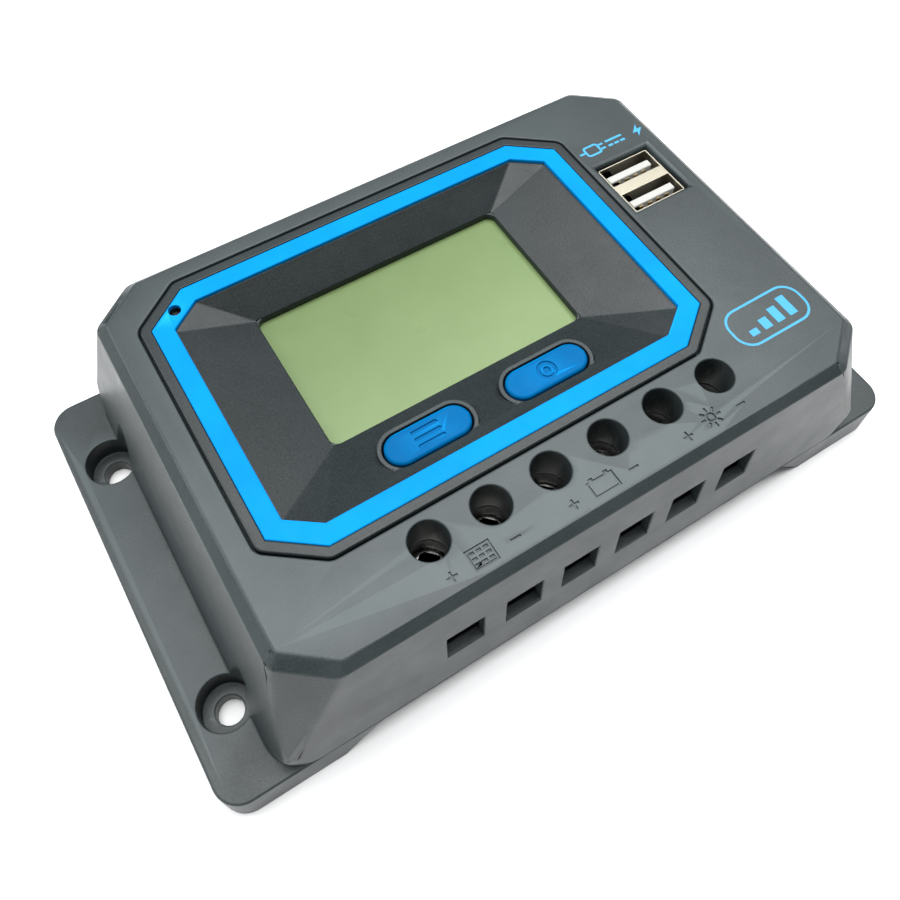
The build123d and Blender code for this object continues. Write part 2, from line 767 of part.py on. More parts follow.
with BuildPart() as display_board:
    with Locations((display_board_centre[0], display_board_centre[1], display_board_bottom)):
        block(display_board_size[0], display_board_size[1], board_thickness)
    fillet(display_board.edges().filter_by(Axis.Z), board_corner_radius)
    with Locations(*[(x, y, display_board_bottom) for x, y in display_screw_places]):
        rod(board_screw_radius + screw_hole_clearance, board_thickness, Mode.SUBTRACT)
    with Locations((header_centre[0], header_centre[1], display_board_bottom)):
        with GridLocations(header_pitch, header_pitch, header_columns, header_rows):
            rod(header_hole_radius, board_thickness, Mode.SUBTRACT)
write(display_board, "display_board")

write(
    pan_head_screws(display_screw_places, display_board_bottom, True, display_screw_length),
    "display_board_screws",
)

# status light: a small lamp on the board and a clear rod up to the hole in the bezel
with BuildPart() as status_led:
    with Locations((led_place[0], led_place[1], display_board_top)):
        block(*lamp_body_size)
    with Locations((led_place[0], led_place[1], display_board_top + lamp_body_size[2])):
        rod(lamp_lens_radius, lamp_lens_height)
write(status_led, "status_led")

with BuildPart() as status_light_pipe:
    with Locations((led_place[0], led_place[1], light_pipe_bottom)):
        rod(led_hole_radius + light_pipe_step, ledge_floor - light_pipe_gap - light_pipe_bottom)
        rod(led_hole_radius - running_clearance, light_pipe_top - light_pipe_bottom)
    fillet(status_light_pipe.faces().sort_by(Axis.Z)[-1].edges(), light_pipe_round)
write(status_light_pipe, "status_light_pipe")


# ---------------------------------------------------------------- keys and the switches under them
def key_cap(name):
    """Key with a level top, a flange that the collar holds back, and a mark cut into its top."""
    centre = (key_x[name], key_y)
    with BuildPart() as cap:
        extrude(stadium(key_size, centre, plunger_top), amount=key_top - plunger_top)
        fillet(cap.faces().sort_by(Axis.Z)[-1].edges(), key_edge_round)
        extrude(stadium(key_flange_size, centre, plunger_top), amount=key_flange_thickness)
        if name == "menu":
            with BuildSketch(Plane.XY.offset(key_top - key_mark_depth)):
                with Locations(centre):
                    with GridLocations(0, menu_mark_pitch, 1, 3):
                        SlotOverall(menu_mark_length, key_mark_line)
        else:
            with BuildSketch(Plane.XY.offset(key_top - key_mark_depth)):
                with Locations(centre):
                    Circle(set_mark_radius)
                    Circle(set_mark_radius - key_mark_line, mode=Mode.SUBTRACT)
                    Circle(key_mark_line)
        extrude(amount=key_mark_depth, mode=Mode.SUBTRACT)
    return cap


def switch_body(name):
    """Small square switch on the display board, hollow where its plunger slides."""
    with BuildPart() as switch:
        with Locations((key_x[name], key_y, display_board_top)):
            block(switch_size, switch_size, switch_height)
        fillet(switch.edges().filter_by(Axis.Z), switch_corner)
        with Locations((key_x[name], key_y, switch_top - plunger_travel_room)):
            rod(plunger_radius + running_clearance, plunger_travel_room, Mode.SUBTRACT)
    return switch


def switch_plunger(name):
    """Round plunger that the key presses into its switch."""
    with BuildPart() as plunger:
        with Locations((key_x[name], key_y, plunger_top - plunger_length)):
            rod(plunger_radius, plunger_length)
        fillet(plunger.faces().sort_by(Axis.Z)[-1].edges(), plunger_round)
    return plunger


for key_name in key_x:
    write(key_cap(key_name), f"{key_name}_key")
    write(switch_body(key_name), f"{key_name}_switch")
    write(switch_plunger(key_name), f"{key_name}_switch_plunger")

# ---------------------------------------------------------------- terminal block
with BuildPart() as terminal_block:
    with Locations((0, (block_front_y + block_back_y) / 2, main_board_top)):
        block(block_length, block_back_y - block_front_y, block_top - main_board_top)
    for x in terminal_x:
        # wire chamber above the bar, open at the front
        with Locations((x, (block_front_y + chamber_back_y) / 2, bar_bottom)):
            block(chamber_width, chamber_back_y - block_front_y, chamber_top - bar_bottom, Mode.SUBTRACT)
        # room for the screw's tip below the bar
        with Locations((x, terminal_y, main_board_top + block_floor)):
            block(tip_room, tip_room, bar_bottom - main_board_top, Mode.SUBTRACT)
        # slot for the bar's tail, down to the board
        with Locations((x, bar_tail_y, main_board_top)):
            block(
                bar_width + 2 * bar_fit, bar_thickness + 2 * bar_fit,
                bar_top - main_board_top, Mode.SUBTRACT,
            )
        with Locations((x, terminal_y, chamber_top)):
            rod(well_radius, block_roof, Mode.SUBTRACT)
write(terminal_block, "terminal_block")

with BuildPart() as terminal_bars:
    for x in terminal_x:
        with Locations((x, (bar_front_y + bar_tail_y + bar_thickness / 2) / 2, bar_bottom)):
            block(bar_width, bar_tail_y + bar_thickness / 2 - bar_front_y, bar_thickness)
        with Locations((x, bar_tail_y, main_board_top)):
            block(bar_width, bar_thickness, bar_top - main_board_top)
        with Locations((x, terminal_y, bar_bottom)):
            rod(screw_shank_radius + running_clearance, bar_thickness, Mode.SUBTRACT)
write(terminal_bars, "terminal_bars")


def terminal_screw(x):
    """Wire-clamp screw with a rounded head and a cross-and-slot drive."""
    with BuildPart() as screw:
        with Locations((x, terminal_y, head_bottom)):
            rod(screw_head_radius, screw_head_height)
        fillet(screw.faces().sort_by(Axis.Z)[-1].edges(), screw_head_round)
        with Locations((x, terminal_y, head_bottom - screw_length)):
            rod(screw_shank_radius, screw_length)
        chamfer(screw.faces().sort_by(Axis.Z)[0].edges(), screw_tip_chamfer)
        with Locations((x, terminal_y, screw_head_top)):
            Box(screw_drive_length, screw_drive_width, 2 * screw_drive_depth, mode=Mode.SUBTRACT)
            Box(screw_drive_width, screw_drive_length, 2 * screw_drive_depth, mode=Mode.SUBTRACT)
    return screw


def clamp_plate(x):
    """Square washer that stays on the screw and presses the wire onto the bar."""
    with BuildPart() as clamp:
        with Locations((x, terminal_y, head_bottom - running_clearance - clamp_plate_thickness)):
            block(clamp_plate_size, clamp_plate_size, clamp_plate_thickness)
            rod(screw_shank_radius + running_clearance, clamp_plate_thickness, Mode.SUBTRACT)
        fillet(clamp.edges().filter_by(Axis.Z).group_by(Axis.Y)[0], clamp_plate_round)
    return clamp


for number, x in enumerate(terminal_x, start=1):
    write(terminal_screw(x), f"terminal_screw_{number}")
    write(clamp_plate(x), f"clamp_plate_{number}")

# ---------------------------------------------------------------- main board
with BuildPart() as main_board:
    with Locations((0, main_board_centre_y, main_board_bottom)):
        block(main_board_size[0], main_board_size[1], board_thickness)
    fillet(main_board.edges().filter_by(Axis.Z), board_corner_radius)
    with Locations(*[(x, y, main_board_bottom) for x, y in main_board_screw_places]):
        rod(board_screw_radius + screw_hole_clearance, board_thickness, Mode.SUBTRACT)
    with Locations((header_centre[0], header_centre[1], main_board_bottom)):
        with GridLocations(header_pitch, header_pitch, header_columns, header_rows):
            rod(header_hole_radius, board_thickness, Mode.SUBTRACT)
write(main_board, "main_board")

with BuildPart() as board_standoffs:
    with BuildSketch(Plane.XY.offset(plate_thickness)):
        with Locations(*main_board_screw_places):
            RegularPolygon(standoff_size / 2, 6, major_radius=False)
            Circle(board_screw_radius + screw_hole_clearance, mode=Mode.SUBTRACT)
    extrude(amount=standoff_height)
write(board_standoffs, "board_standoffs")

write(
    pan_head_screws(main_board_screw_places, main_board_top, False, main_board_screw_length),
    "main_board_screws",
)

with BuildPart() as header_body:
    with Locations((header_centre[0], header_centre[1], main_board_top)):
        block(header_columns * header_pitch, header_rows * header_pitch, header_height)
        with GridLocations(header_pitch, header_pitch, header_columns, header_rows):
            rod(header_pin_size, header_height, Mode.SUBTRACT)
write(header_body, "header_body")

with BuildPart() as header_pins:
    with Locations((header_centre[0], header_centre[1], main_board_bottom - header_pin_tail)):
        with GridLocations(header_pitch, header_pitch, header_columns, header_rows):
            block(
                header_pin_size, header_pin_size,
                display_board_top - main_board_bottom + 2 * header_pin_tail,
            )
write(header_pins, "header_pins")

with BuildPart() as thermal_pad:
    with Locations((0, transistor_y, plate_thickness)):
        block(transistor_count * transistor_pitch, thermal_pad_width, thermal_pad_thickness)
write(thermal_pad, "thermal_pad")

with BuildPart() as power_transistors:
    tab_floor = plate_thickness + thermal_pad_thickness
    for index in range(transistor_count):
        x = (index - (transistor_count - 1) / 2) * transistor_pitch
        with Locations((x, transistor_body_y + transistor_tab_shift, tab_floor)):
            block(*transistor_tab)
        with Locations((x, transistor_body_y + transistor_hole_shift, tab_floor)):
            rod(transistor_hole_radius, transistor_tab[2], Mode.SUBTRACT)
        with Locations((x, transistor_body_y, tab_floor)):
            block(*transistor_body)
        with Locations((x, transistor_body_y + lead_shift, tab_floor + lead_rise)):
            with GridLocations(lead_pitch, 0, 3, 1):
                block(*lead_size)
        with Locations((x, transistor_body_y + lead_bend_shift, tab_floor + lead_rise)):
            with GridLocations(lead_pitch, 0, 3, 1):
                block(lead_size[0], lead_bend_depth, main_board_bottom - tab_floor - lead_rise)
write(power_transistors, "power_transistors")

with BuildPart() as smoothing_capacitors:
    with Locations(*[(x, capacitor_y, main_board_top) for x in capacitor_x]):
        rod(capacitor_radius, capacitor_height)
    fillet(smoothing_capacitors.faces().sort_by(Axis.Z)[-1].edges(), capacitor_round)
write(smoothing_capacitors, "smoothing_capacitors")

with BuildPart() as filter_choke:
    with Locations((choke_place[0], choke_place[1], main_board_top + choke_tube_radius)):
        Torus(choke_ring_radius, choke_tube_radius)
write(filter_choke, "filter_choke")

with BuildPart() as controller_chip:
    with Locations((chip_place[0], chip_place[1], main_board_top + chip_lift)):
        block(chip_size, chip_size, chip_height)
    with Locations((chip_place[0], chip_place[1], main_board_top)):
        with GridLocations(chip_leg_pitch, chip_size + chip_leg_reach, chip_legs_per_side, 2):
            block(chip_leg_size[0], chip_leg_size[1], chip_leg_size[2])
        with GridLocations(chip_size + chip_leg_reach, chip_leg_pitch, 2, chip_legs_per_side):
            block(chip_leg_size[1], chip_leg_size[0], chip_leg_size[2])
write(controller_chip, "controller_chip")

with BuildPart() as shunt_resistors:
    with BuildSketch(Plane.XZ.offset(-shunt_y)):
        with Locations(*[(x, main_board_top) for x in shunt_x]):
            SlotOverall(2 * shunt_height, shunt_span, rotation=90)
            SlotOverall(
                2 * (shunt_height - shunt_wire), shunt_span - 2 * shunt_wire,
                rotation=90, mode=Mode.SUBTRACT,
            )
    extrude(amount=shunt_wire)
    split(bisect_by=Plane.XY.offset(main_board_top), keep=Keep.TOP)
write(shunt_resistors, "shunt_resistors")

# ---------------------------------------------------------------- twin USB socket on its own board
port_places = [(usb_centre[0], usb_centre[1] + side * usb_port_pitch / 2) for side in (-1, 1)]

with BuildPart() as usb_shell:
    with Locations((usb_centre[0], usb_centre[1], usb_shell_bottom)):
        block(usb_shell_size[0], usb_shell_size[1], usb_shell_length)
    fillet(usb_shell.edges().filter_by(Axis.Z), usb_shell_corner)
    with Locations(*[(x, y, usb_shell_top - usb_port_depth) for x, y in port_places]):
        block(usb_port_size[0], usb_port_size[1], usb_port_depth, Mode.SUBTRACT)
write(usb_shell, "usb_shell")

with BuildPart() as usb_tongues:
    with Locations(*[(x, y, usb_shell_top - usb_port_depth) for x, y in port_places]):
        block(usb_port_size[0] - 2 * usb_fit, usb_port_size[1] - 2 * usb_fit, usb_tongue_base)
        block(usb_tongue_size[0], usb_tongue_size[1], usb_tongue_length)
    fillet(usb_tongues.edges().filter_by(Axis.X).sort_by(Axis.Z)[-4:], usb_tongue_round)
write(usb_tongues, "usb_tongues")

with BuildPart() as usb_contacts:
    for x, y in port_places:
        contact_y = y - usb_tongue_size[1] / 2 - usb_contact_size[1] / 2
        with Locations((x, contact_y, usb_shell_top - usb_port_depth + usb_tongue_base)):
            with GridLocations(usb_contact_pitch, 0, 4, 1):
                block(usb_contact_size[0], usb_contact_size[1], usb_contact_length)
write(usb_contacts, "usb_contacts")

with BuildPart() as usb_board:
    with Locations((usb_board_centre[0], usb_board_centre[1], usb_board_bottom)):
        block(usb_board_size[0], usb_board_size[1], board_thickness)
    fillet(usb_board.edges().filter_by(Axis.Z), board_corner_radius)
    with Locations(*[(x, y, usb_board_bottom) for x, y in usb_screw_places]):
        rod(board_screw_radius + screw_hole_clearance, board_thickness, Mode.SUBTRACT)
write(usb_board, "usb_board")

write(pan_head_screws(usb_screw_places, usb_board_bottom, True, usb_screw_length), "usb_board_screws")

with BuildPart() as usb_coil:
    with Locations((usb_centre[0], usb_centre[1], usb_board_bottom - usb_coil_size[2])):
        block(*usb_coil_size)
    fillet(usb_coil.edges().filter_by(Axis.Z), usb_coil_corner)
write(usb_coil, "usb_coil")
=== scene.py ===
"""Looks for the solar charge controller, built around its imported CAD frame.

Metres, with Z up and the origin under the middle of the case.
"""

import bmesh
import bpy
import math
from mathutils import Matrix, Vector


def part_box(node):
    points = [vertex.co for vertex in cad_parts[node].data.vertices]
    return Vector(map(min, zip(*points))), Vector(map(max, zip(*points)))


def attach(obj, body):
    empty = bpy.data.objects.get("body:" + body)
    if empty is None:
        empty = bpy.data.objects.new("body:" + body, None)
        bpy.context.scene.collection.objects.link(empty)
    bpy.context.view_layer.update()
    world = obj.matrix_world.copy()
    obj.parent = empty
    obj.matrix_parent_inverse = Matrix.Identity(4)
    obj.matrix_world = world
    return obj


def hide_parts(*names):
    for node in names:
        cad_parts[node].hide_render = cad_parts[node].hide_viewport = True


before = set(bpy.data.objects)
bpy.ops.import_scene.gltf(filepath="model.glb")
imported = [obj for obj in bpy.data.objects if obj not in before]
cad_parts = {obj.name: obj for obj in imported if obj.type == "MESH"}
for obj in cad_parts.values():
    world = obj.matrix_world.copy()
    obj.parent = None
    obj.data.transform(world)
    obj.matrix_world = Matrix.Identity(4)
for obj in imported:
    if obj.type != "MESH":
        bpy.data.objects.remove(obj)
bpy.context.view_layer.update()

MM = 0.001
CREASE_ANGLE = math.radians(5)
FLAT_ANGLE = math.radians(0.6)
WELD_DISTANCE = 0.0005 * MM
CURVED_FACE_CORNERS = 8
ROUNDING_SEGMENTS = 3
TERMINAL_COUNT = 6
PLASTIC_IOR = 1.46
# noise mostly stays between these two values
NOISE_LOW = 0.3
NOISE_HIGH = 0.7


# ------------------------------------------------------------------ node helpers
class Finish:
    """A new material whose colour, roughness and bump are built up node by node."""

    def __init__(self, name, roughness, metallic=0.0):
        self.material = bpy.data.materials.new(name)
        self.material.use_nodes = True
        self.tree = self.material.node_tree
        self.shader = self.tree.nodes["Principled BSDF"]
        self.shader.inputs["Roughness"].default_value = roughness
        self.shader.inputs["Metallic"].default_value = metallic
        self.shader.inputs["IOR"].default_value = PLASTIC_IOR
        self.place = self.tree.nodes.new("ShaderNodeTexCoord").outputs["Object"]
        self.height = None

    def link(self, output, target):
        self.tree.links.new(output, target)

    def gloss(self, level):
        """How strongly the surface mirrors light; 0.5 is that of bare plastic."""
        self.shader.inputs["Specular IOR Level"].default_value = level

    def noise(self, size, detail=3.0, roughness=0.55, stretch=(1, 1, 1)):
        """Noise whose grains are about size metres across."""
        mapping = self.tree.nodes.new("ShaderNodeMapping")
        mapping.inputs["Scale"].default_value = stretch
        self.link(self.place, mapping.inputs["Vector"])
        node = self.tree.nodes.new("ShaderNodeTexNoise")
        node.inputs["Scale"].default_value = 1.0 / size
        node.inputs["Detail"].default_value = detail
        node.inputs["Roughness"].default_value = roughness
        self.link(mapping.outputs["Vector"], node.inputs["Vector"])
        return node.outputs["Fac"]

    def cells(self, size):
        """Distance to the nearest of many random points about size metres apart."""
        node = self.tree.nodes.new("ShaderNodeTexVoronoi")
        node.inputs["Scale"].default_value = 1.0 / size
        self.link(self.place, node.inputs["Vector"])
        return node.outputs["Distance"]

    def remap(self, value, low, high, new_low, new_high):
        """Value moved from one range to another, held inside the new one."""
        node = self.tree.nodes.new("ShaderNodeMapRange")
        for socket, number in zip(node.inputs[1:5], (low, high, new_low, new_high)):
            socket.default_value = number
        self.link(value, node.inputs["Value"])
        return node.outputs["Result"]

    def blend(self, factor, first, second):
        """Mix of two colours, each a socket or an RGB tuple."""
        node = self.tree.nodes.new("ShaderNodeMix")
        node.data_type = "RGBA"
        for socket, value in ((node.inputs[6], first), (node.inputs[7], second)):
            if isinstance(value, tuple):
                socket.default_value = (*value, 1.0)
            else:
                self.link(value, socket)
        if isinstance(factor, float):
            node.inputs["Factor"].default_value = factor
        else:
            self.link(factor, node.inputs["Factor"])
        return node.outputs[2]

    def edges(self, low=0.505, high=0.56):
        """White on convex edges and black on flat faces: the mask for painted edge highlights."""
        pointiness = self.tree.nodes.new("ShaderNodeNewGeometry").outputs["Pointiness"]
        return self.remap(pointiness, low, high, 0.0, 1.0)

    def bump(self, value, depth):
        """Adds a height field, depth metres from its lowest to its highest, over what is there."""
        node = self.tree.nodes.new("ShaderNodeBump")
        node.inputs["Strength"].default_value = 1.0
        node.inputs["Distance"].default_value = depth
        self.link(value, node.inputs["Height"])
        if self.height is not None:
            self.link(self.height, node.inputs["Normal"])
        self.height = node.outputs["Normal"]
        self.link(self.height, self.shader.inputs["Normal"])

    def colour(self, value):
        self.link(value, self.shader.inputs["Base Color"])

    def roughness(self, value):
        self.link(value, self.shader.inputs["Roughness"])


# ------------------------------------------------------------------ materials
def textured_plastic(name, dark, light, grain, grain_depth, low_rough, high_rough):
    """Spark-textured moulding: fine pits and slow colour drift, with paler convex edges that are a painted
    highlight.
    """
    finish = Finish(name, 0.5)
    finish.gloss(0.32)
    drift = finish.noise(22 * MM, 4.0)
    speckle = finish.noise(grain, 2.0, 0.6)
    body = finish.blend(finish.remap(drift, 0.35, 0.65, 0.0, 1.0), dark, light)
    spots = finish.remap(speckle, 0.38, 0.66, 0.0, 1.0)
    body = finish.blend(spots, body, finish.blend(0.2, body, (0.07, 0.08, 0.08)))
    # painted highlight: convex edges take a colour about twice as light as the body's
    edge_highlight = tuple(channel * 2.1 for channel in light)
    finish.colour(finish.blend(finish.edges(), body, edge_highlight))
    finish.roughness(finish.remap(finish.noise(7 * MM, 5.0), NOISE_LOW, NOISE_HIGH, low_rough, high_rough))
    finish.bump(finish.noise(grain, 2.0, 0.65), grain_depth)
    finish.bump(finish.cells(grain * 1.7), grain_depth * 0.6)
    return finish.material


def coloured_plastic(name, base, pale, roughness, grain_depth, gloss=0.4):
    """Smooth dyed plastic with a faint ripple; its lighter convex edges, in the pale colour, are a painted
    highlight.
    """
    finish = Finish(name, roughness)
    finish.gloss(gloss)
    drift = finish.remap(finish.noise(16 * MM, 3.0), 0.35, 0.65, 0.0, 1.0)
    body = finish.blend(drift, base, tuple(0.86 * channel for channel in base))
    # painted highlight: convex edges take the pale colour
    finish.colour(finish.blend(finish.edges(0.51, 0.58), body, pale))
    ripple = finish.noise(2.5 * MM, 4.0)
    finish.roughness(finish.remap(ripple, NOISE_LOW, NOISE_HIGH, roughness - 0.07, roughness + 0.09))
    finish.bump(finish.noise(0.35 * MM, 2.0), grain_depth)
    return finish.material


def display_film():
    """Grey-green polarising film with faint clouds and a satin surface; a slow gradient, lighter towards
    the front and the right, is painted light.
    """
    finish = Finish("display_film", 0.32)
    finish.gloss(0.25)
    low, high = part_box("lcd_polarizer")
    # painted light: the film's colour grows lighter towards the front and the right
    split = finish.tree.nodes.new("ShaderNodeSeparateXYZ")
    finish.link(finish.place, split.inputs["Vector"])
    along = finish.remap(split.outputs["Y"], low.y, high.y, 1.0, 0.0)
    across = finish.remap(split.outputs["X"], low.x, high.x, 0.0, 0.55)
    both = finish.tree.nodes.new("ShaderNodeMath")
    both.operation = "ADD"
    finish.link(along, both.inputs[0])
    finish.link(across, both.inputs[1])
    painted_light_gradient = finish.remap(both.outputs["Value"], 0.1, 1.3, 0.0, 1.0)
    body = finish.blend(painted_light_gradient, (0.092, 0.138, 0.052), (0.130, 0.190, 0.076))
    cloud = finish.remap(finish.noise(14 * MM, 3.0), NOISE_LOW, NOISE_HIGH, 0.0, 0.12)
    finish.colour(finish.blend(cloud, body, (0.22, 0.28, 0.13)))
    finish.roughness(finish.remap(finish.noise(5 * MM, 4.0), NOISE_LOW, NOISE_HIGH, 0.27, 0.36))
    finish.bump(finish.noise(0.25 * MM, 2.0), 0.002 * MM)
    return finish.material


def metal(name, base, tarnish, roughness, brush=(1, 1, 1), depth=0.01 * MM):
    """Bare or plated metal with fine scratches and dull patches; its brighter convex edges are a painted
    highlight.
    """
    finish = Finish(name, roughness, metallic=1.0)
    patches = finish.remap(finish.noise(3 * MM, 4.0), 0.4, 0.7, 0.0, 1.0)
    body = finish.blend(patches, base, tarnish)
    # painted highlight: convex edges drawn a quarter brighter than the base colour
    edge_glint = tuple(min(1.0, 1.25 * channel) for channel in base)
    finish.colour(finish.blend(finish.edges(), body, edge_glint))
    scratches = finish.noise(0.25 * MM, 3.0, 0.6, brush)
    finish.roughness(finish.remap(scratches, NOISE_LOW, NOISE_HIGH, roughness - 0.08, roughness + 0.12))
    finish.bump(scratches, depth)
    return finish.material


# ------------------------------------------------------------------ pieces made from CAD nodes
def softened(node, body, material, edge, fine_zones=()):
    """Piece that stands for a CAD node: the same shape with its sharp edges rounded by edge metres.

    Each fine zone is a low corner, a high corner and the share of the rounding that edges inside it get.
    """
    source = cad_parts[node].data
    mesh = source.copy()
    mesh.materials.clear()
    mesh.materials.append(material)
    facing = [tuple(corner.vector) for corner in source.corner_normals]
    store = mesh.attributes.new("cad_facing", "FLOAT_VECTOR", "CORNER")
    store.data.foreach_set("vector", [number for normal in facing for number in normal])
    mesh.attributes.remove(mesh.attributes["custom_normal"])

    shape = bmesh.new()
    shape.from_mesh(mesh)
    bmesh.ops.remove_doubles(shape, verts=shape.verts, dist=WELD_DISTANCE)
    layer = shape.loops.layers.float_vector["cad_facing"]
    for rib in shape.edges:
        rib.seam = is_crease(rib, layer)
    bmesh.ops.dissolve_limit(
        shape, angle_limit=FLAT_ANGLE, verts=shape.verts, edges=shape.edges, delimit={"SEAM"})
    for face in shape.faces:
        face.smooth = not is_flat(face)
    weight = shape.edges.layers.float.new("bevel_weight_edge")
    for rib in shape.edges:
        if rib.seam:
            rib[weight] = edge_share(rib, fine_zones)
            rib.smooth = rib[weight] > 0
            rib.seam = False
    shape.to_mesh(mesh)
    shape.free()
    mesh.attributes.remove(mesh.attributes["cad_facing"])

    piece = bpy.data.objects.new(f"{node}_shaped", mesh)
    bpy.context.scene.collection.objects.link(piece)
    rounding = piece.modifiers.new("rounding", "BEVEL")
    rounding.width = edge
    rounding.segments = ROUNDING_SEGMENTS
    rounding.limit_method = "WEIGHT"
    rounding.use_clamp_overlap = False
    rounding.harden_normals = True
    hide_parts(node)
    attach(piece, body)


def is_crease(rib, layer):
    """Whether the two faces at an edge face different ways along it, by the CAD normals."""
    if len(rib.link_faces) != 2:
        return True
    first, second = rib.link_loops
    pairs = ((first, second.link_loop_next), (first.link_loop_next, second))
    return any(Vector(a[layer]).angle(Vector(b[layer]), 0.0) > CREASE_ANGLE for a, b in pairs)


def is_flat(face):
    """Whether a face is part of a plane.

    It is when it has many corners, or is level with each neighbour that no crease parts from it.
    """
    level = all(rib.seam or rib.calc_face_angle(math.pi) < 2 * FLAT_ANGLE for rib in face.edges)
    return level or len(face.verts) > CURVED_FACE_CORNERS


def edge_share(rib, fine_zones):
    """How much of the full rounding an edge gets, from 0 to 1."""
    if len(rib.link_faces) != 2:
        return 0.0
    middle = (rib.verts[0].co + rib.verts[1].co) / 2
    for low, high, share in fine_zones:
        if all(low[axis] <= middle[axis] <= high[axis] for axis in range(3)):
            return share
    return 1.0


def dressed(node, material):
    """Gives a CAD node its material, keeping its own mesh."""
    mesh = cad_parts[node].data
    mesh.materials.clear()
    mesh.materials.append(material)


housing_plastic = textured_plastic(
    "housing_plastic", (0.017, 0.023, 0.024), (0.026, 0.033, 0.034), 0.30 * MM, 0.028 * MM, 0.36, 0.45)
bezel_plastic = textured_plastic(
    "bezel_plastic", (0.005, 0.008, 0.009), (0.008, 0.012, 0.013), 0.22 * MM, 0.016 * MM, 0.34, 0.43)
band_blue = coloured_plastic("band_blue", (0.0, 0.215, 0.57), (0.01, 0.30, 0.70), 0.50, 0.003 * MM, 0.05)
key_blue = coloured_plastic("key_blue", (0.0, 0.098, 0.27), (0.0, 0.16, 0.40), 0.46, 0.004 * MM, 0.04)
printed_blue = coloured_plastic(
    "printed_blue", (0.03, 0.20, 0.42), (0.05, 0.28, 0.50), 0.45, 0.002 * MM, 0.2)
black_plastic = coloured_plastic(
    "black_plastic", (0.010, 0.011, 0.013), (0.04, 0.04, 0.04), 0.45, 0.01 * MM)
film = display_film()
screw_metal = metal("screw_metal", (0.78, 0.77, 0.74), (0.52, 0.50, 0.46), 0.22, (1, 6, 1), 0.004 * MM)
socket_metal = metal("socket_metal", (0.27, 0.25, 0.20), (0.19, 0.17, 0.13), 0.34, (1, 1, 5), 0.003 * MM)
board_metal = metal("board_metal", (0.75, 0.58, 0.28), (0.55, 0.40, 0.18), 0.30)
base_metal = metal("base_metal", (0.70, 0.71, 0.72), (0.55, 0.56, 0.57), 0.36, (0.15, 6, 1), 0.006 * MM)
white_plastic = coloured_plastic("white_plastic", (0.34, 0.34, 0.32), (0.50, 0.50, 0.48), 0.38, 0.003 * MM)
board_green = coloured_plastic("board_green", (0.012, 0.10, 0.035), (0.10, 0.25, 0.10), 0.35, 0.01 * MM)
sleeve_dark = coloured_plastic("sleeve_dark", (0.02, 0.025, 0.06), (0.1, 0.1, 0.14), 0.3, 0.006 * MM)
grey_rubber = coloured_plastic("grey_rubber", (0.30, 0.32, 0.34), (0.4, 0.4, 0.4), 0.6, 0.02 * MM)

# the symbols in front of the wells are finer than the rounding of the case's own edges
symbol_zone = (Vector((-45, -43.2, 41.5)) * MM, Vector((45, -36.8, 42.2)) * MM, 0.15)

softened("top_housing", "case", housing_plastic, 0.35 * MM, (symbol_zone,))
softened("display_bezel", "case", bezel_plastic, 0.25 * MM)
softened("bezel_trim_ring", "case", band_blue, 0.08 * MM)
for key in ("menu", "set"):
    softened(f"{key}_key", f"{key}_key", key_blue, 0.08 * MM)
softened("usb_shell", "case", socket_metal, 0.10 * MM)
softened("usb_tongues", "case", white_plastic, 0.10 * MM)
softened("lcd_polarizer", "case", film, 0.05 * MM)
softened("terminal_block", "case", black_plastic, 0.15 * MM)
softened("base_plate", "case", base_metal, 0.20 * MM)
for number in range(1, TERMINAL_COUNT + 1):
    softened(f"terminal_screw_{number}", f"screw_{number}", screw_metal, 0.10 * MM)
    softened(f"clamp_plate_{number}", f"clamp_{number}", screw_metal, 0.10 * MM)

inner_pieces = (
    (screw_metal, ("base_screws", "display_board_screws", "main_board_screws", "usb_board_screws")),
    (film, ("lcd_glass",)),
    (white_plastic, ("lcd_backlight", "status_led")),
    (black_plastic, (
        "lcd_frame", "status_light_pipe", "menu_switch", "set_switch", "menu_switch_plunger",
        "set_switch_plunger", "header_body", "power_transistors", "filter_choke", "controller_chip",
        "usb_coil")),
    (board_green, ("display_board", "main_board", "usb_board")),
    (board_metal, ("terminal_bars", "board_standoffs", "header_pins", "shunt_resistors", "usb_contacts")),
    (grey_rubber, ("thermal_pad",)),
    (sleeve_dark, ("smoothing_capacitors",)),
)
for material, nodes in inner_pieces:
    for node in nodes:
        dressed(node, material)


# ------------------------------------------------------------------ printed marks, in millimetres
INK_FOOT = -0.02
INK_TOP = 0.01
INK_LINE = 0.5


def ribbon(shape, points, low, high):
    """Adds a strip of constant width that follows a closed outline."""
    line = [Vector((x, y, 0.0)) for x, y in points]
    sides = ([], [])
    for number, point in enumerate(line):
        before = point - line[number - 1]
        after = line[(number + 1) % len(line)] - point
        first = Vector((-before.y, before.x, 0.0)).normalized()
        second = Vector((-after.y, after.x, 0.0)).normalized()
        mitre = (first + second) / (1.0 + first.dot(second))
        for side, reach in zip(sides, (INK_LINE / 2, -INK_LINE / 2)):
            side.append(point + mitre * reach)
    left_low, left_high, right_low, right_high = (
        [shape.verts.new(Vector((place.x, place.y, z)) * MM) for place in side]
        for side in sides for z in (low, high))
    walls = ((left_high, right_high), (right_low, left_low), (left_low, left_high), (right_high, right_low))
    for number in range(len(line)):
        following = (number + 1) % len(line)
        for one, two in walls:
            shape.faces.new((one[number], two[number], two[following], one[following]))


def slab(shape, points, low, high):
    """Adds a filled outline with a closed edge."""
    bottom = [shape.verts.new(Vector((x, y, low)) * MM) for x, y in points]
    top = [shape.verts.new(Vector((x, y, high)) * MM) for x, y in points]
    shape.faces.new(top)
    shape.faces.new(list(reversed(bottom)))
    for number in range(len(points)):
        following = (number + 1) % len(points)
        shape.faces.new((bottom[number], bottom[following], top[following], top[number]))


